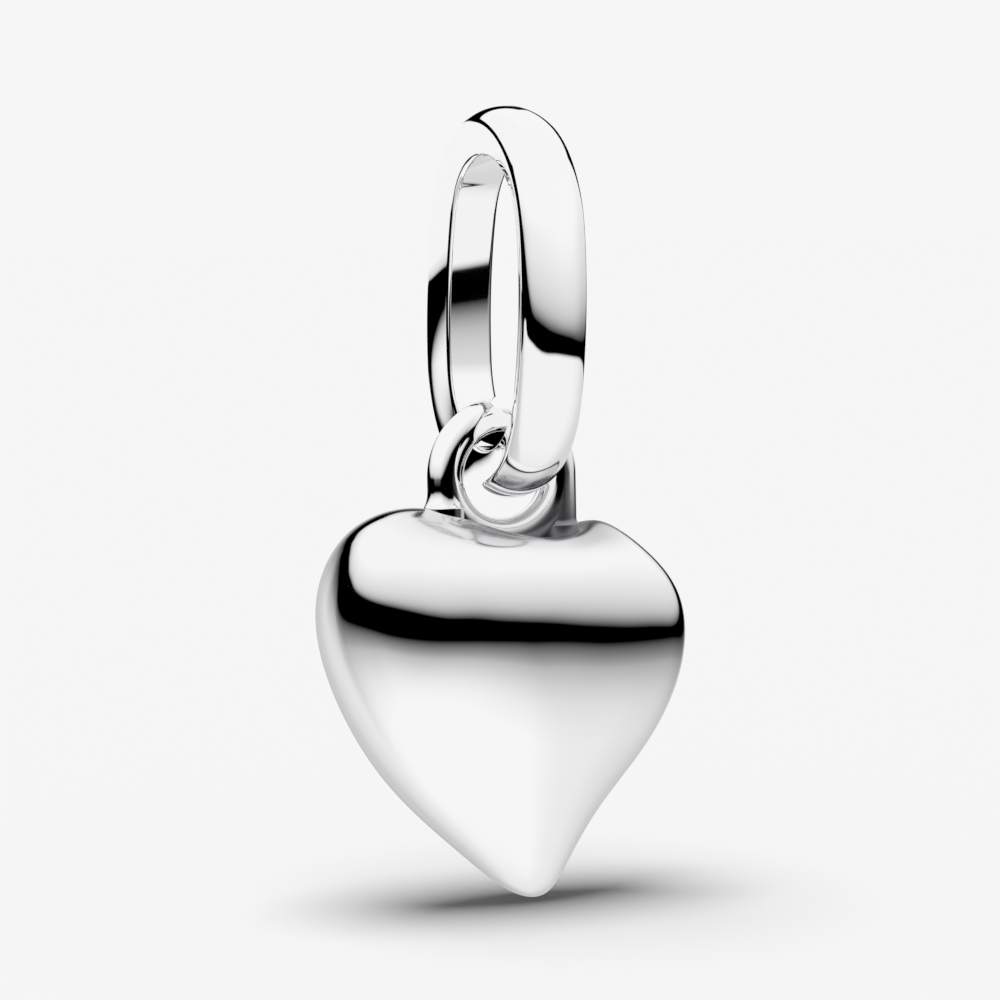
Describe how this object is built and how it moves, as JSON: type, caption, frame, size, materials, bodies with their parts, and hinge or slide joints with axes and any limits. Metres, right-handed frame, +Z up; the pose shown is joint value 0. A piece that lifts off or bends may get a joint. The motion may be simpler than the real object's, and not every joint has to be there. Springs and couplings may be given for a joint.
{
  "type": "dangle charm",
  "caption": "Polished silver puffed-heart charm with a cast-on loop, hanging from an oval link bail.",
  "frame": {"origin": "highest point of the bail's inner face, where a chain or cord carries the charm", "axes": "+Z up against gravity as it hangs, -Y the side that the heart's front face looks to, +X to the right seen from the front"},
  "size_m": [0.0086, 0.0064, 0.0174],
  "materials": {
    "silver": "mirror-polished silver"
  },
  "bodies": {
    "bail": {"bail": "silver"},
    "heart": {"heart_drop": "silver"}
  },
  "joints": [
    {"name": "heart_nod", "type": "hinge", "parent": "bail", "child": "heart", "pos_m": [0, 0.00025, -0.00561], "axis": [1, 0, 0], "range_deg": [-40, 40]}
  ]
}
